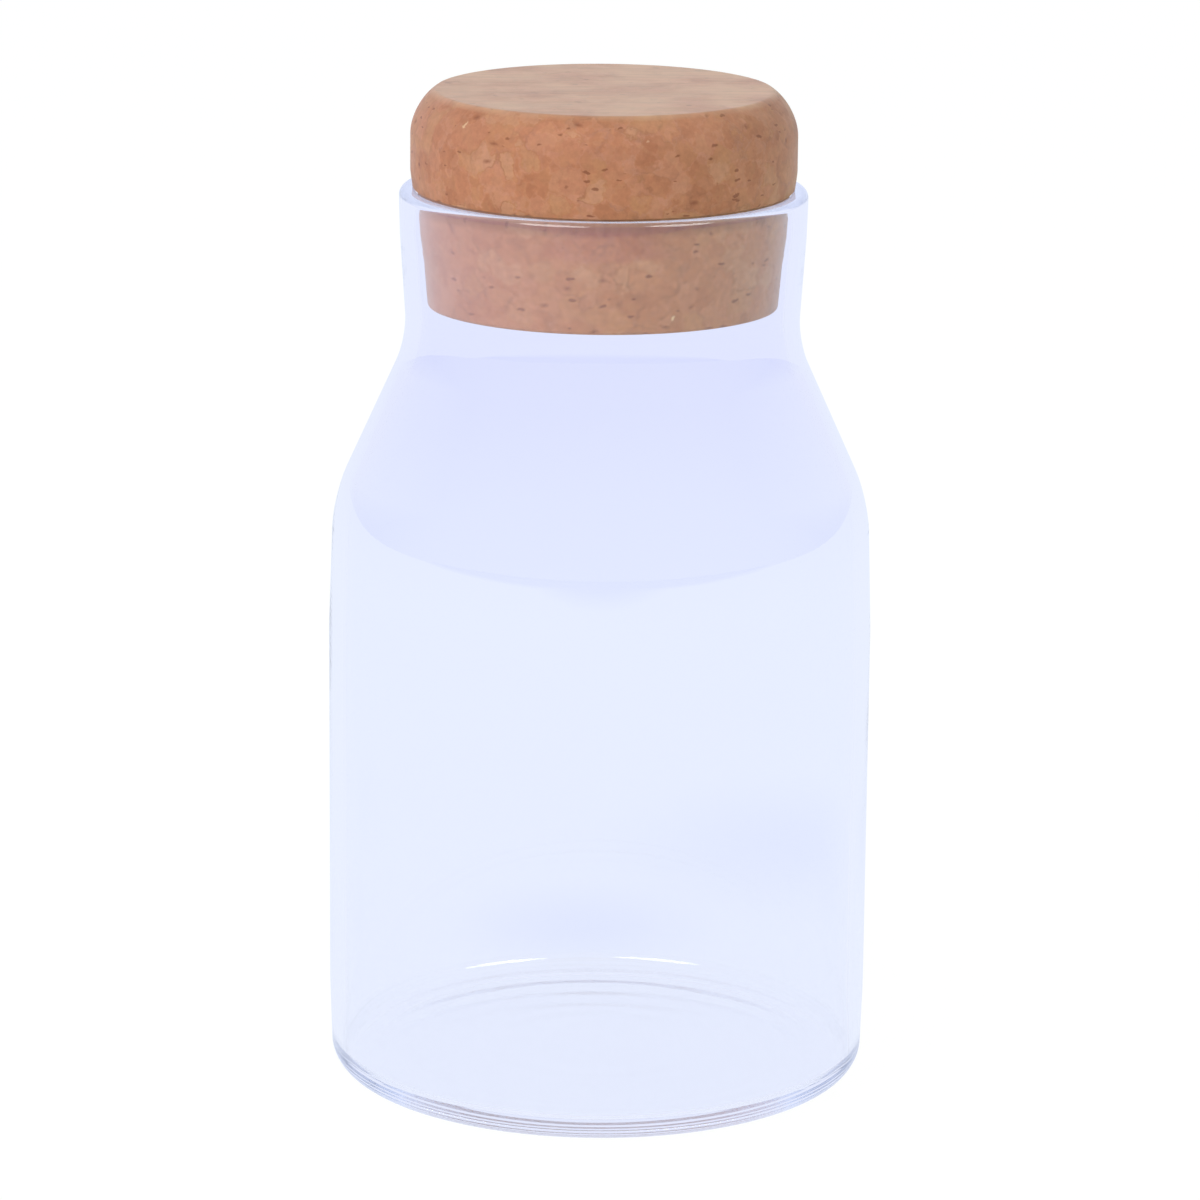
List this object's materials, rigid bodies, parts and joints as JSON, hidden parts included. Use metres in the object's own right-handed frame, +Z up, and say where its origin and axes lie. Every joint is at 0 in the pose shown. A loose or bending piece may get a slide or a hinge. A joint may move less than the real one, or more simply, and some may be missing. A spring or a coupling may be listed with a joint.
{
  "type": "glass storage jar with cork stopper",
  "caption": "Clear glass storage jar with a straight round body, sloping shoulder and flared neck, closed by a turned cork stopper that lifts out.",
  "frame": {"origin": "centre of the ring that the jar stands on, at the base", "axes": "+Z up along the axis of the jar and the stopper; the form is turned, so X and Y are any two directions across it"},
  "size_m": [0.1, 0.1, 0.184],
  "materials": {
    "clear_glass": "gloss",
    "agglomerated_cork": "matte"
  },
  "bodies": {
    "jar": {"jar_body": "clear_glass"},
    "stopper": {"cork_stopper": "agglomerated_cork"}
  },
  "joints": [
    {"name": "stopper_lift", "type": "slide", "parent": "jar", "child": "stopper", "axis": [0, 0, 1], "range_m": [0, 0.06]}
  ]
}
